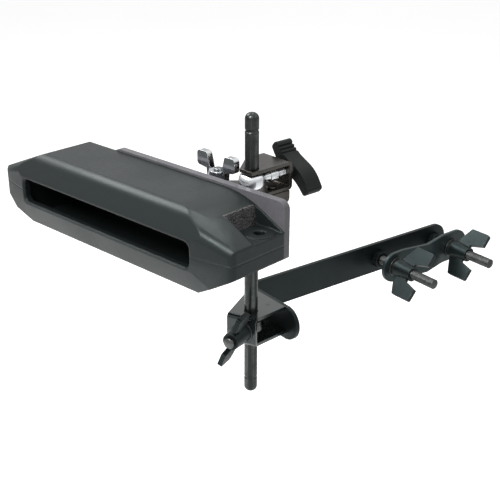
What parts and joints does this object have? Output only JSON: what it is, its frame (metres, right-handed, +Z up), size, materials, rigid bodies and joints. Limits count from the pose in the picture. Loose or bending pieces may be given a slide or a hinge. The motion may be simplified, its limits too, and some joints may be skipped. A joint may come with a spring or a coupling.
{
  "type": "clamp-mounted percussion block",
  "caption": "Black hollow percussion block with a long sound slot, hung from a vertical rod on an offset bar that clamps to a stand tube with wing nuts",
  "frame": {"origin": "On the flat clamping face of the offset arm, at the arm's mid-height and midway between the two clamp bolts along the arm", "axes": "+Z runs up along the mounting rod, X along the block with its free end at -X, Y from the slot side to the hanger side; the clamping face looks along (0.985, -0.174, 0)"},
  "size_m": [0.2652, 0.3107, 0.2087],
  "materials": {
    "shell_plastic": "satin moulded, grey-green black",
    "rail_plastic": "satin moulded, dark grey",
    "dark_steel": "dark zinc",
    "brass": "plain",
    "bright_chrome": "polished",
    "black_steel": "black semi-gloss",
    "handle_plastic": "matte, dark grey",
    "rod_steel": "dark, knurled in the middle",
    "black_nut": "black semi-gloss casting"
  },
  "bodies": {
    "arm": {"offset_arm": "black_steel", "lower_channel": "black_steel", "lower_eye_bolt": "dark_steel", "lower_washer": "dark_steel", "clamp_bolts": "dark_steel", "clamp_lock_nuts": "black_nut"},
    "lower_nut": {"lower_wing_nut": "black_nut"},
    "jaw": {"clamp_jaw": "black_steel", "clamp_washers": "dark_steel", "clamp_spring_washers": "dark_steel"},
    "inner_nut": {"inner_wing_nut": "black_nut"},
    "outer_nut": {"outer_wing_nut": "black_nut"},
    "rod": {"mounting_rod": "rod_steel"},
    "upper_clamp": {"upper_channel": "black_steel", "upper_eye_bolt": "bright_chrome", "upper_washer": "dark_steel", "swivel_plate": "black_steel", "swivel_rivets": "black_steel"},
    "handle": {"t_handle": "handle_plastic", "t_handle_insert": "brass"},
    "block": {"upper_shell": "shell_plastic", "lower_shell": "shell_plastic", "shell_screws": "dark_steel", "shell_inserts": "brass", "back_rail": "rail_plastic", "rail_screws": "dark_steel", "pivot_bolt": "dark_steel", "pivot_washer": "bright_chrome"},
    "pivot_nut": {"pivot_wing_nut": "bright_chrome"}
  },
  "joints": [
    {"name": "rod_slide", "type": "slide", "parent": "arm", "child": "rod", "axis": [0, 0, 1], "range_m": [-0.024, 0.04]},
    {"name": "clamp_swing", "type": "hinge", "parent": "rod", "child": "upper_clamp", "pos_m": [0.00164, -0.19454, 0.1086], "axis": [0, 0, 1], "range_deg": [-60, 60]},
    {"name": "block_swivel", "type": "hinge", "parent": "upper_clamp", "child": "block", "pos_m": [-0.03236, -0.19204, 0.0971], "axis": [0, 0, 1], "range_deg": [-90, 0]},
    {"name": "handle_turn", "type": "hinge", "parent": "upper_clamp", "child": "handle", "pos_m": [0.00513, -0.15469, 0.1101], "axis": [0.0872, 0.9962, 0], "continuous": true},
    {"name": "pivot_nut_turn", "type": "hinge", "parent": "block", "child": "pivot_nut", "pos_m": [-0.03236, -0.19204, 0.104], "axis": [0, 0, 1], "continuous": true},
    {"name": "lower_nut_turn", "type": "hinge", "parent": "arm", "child": "lower_nut", "pos_m": [0.00734, -0.21579, 0.0021], "axis": [0.2588, -0.9659, 0], "continuous": true},
    {"name": "jaw_slide", "type": "slide", "parent": "arm", "child": "jaw", "axis": [0.9848, -0.1736, 0], "range_m": [-0.0118, 0.02]},
    {"name": "inner_nut_turn", "type": "hinge", "parent": "jaw", "child": "inner_nut", "pos_m": [0.02582, -0.03786, -0.001], "axis": [0.9848, -0.1736, 0], "continuous": true},
    {"name": "outer_nut_turn", "type": "hinge", "parent": "jaw", "child": "outer_nut", "pos_m": [0.03721, 0.02675, -0.001], "axis": [0.9848, -0.1736, 0], "continuous": true}
  ]
}
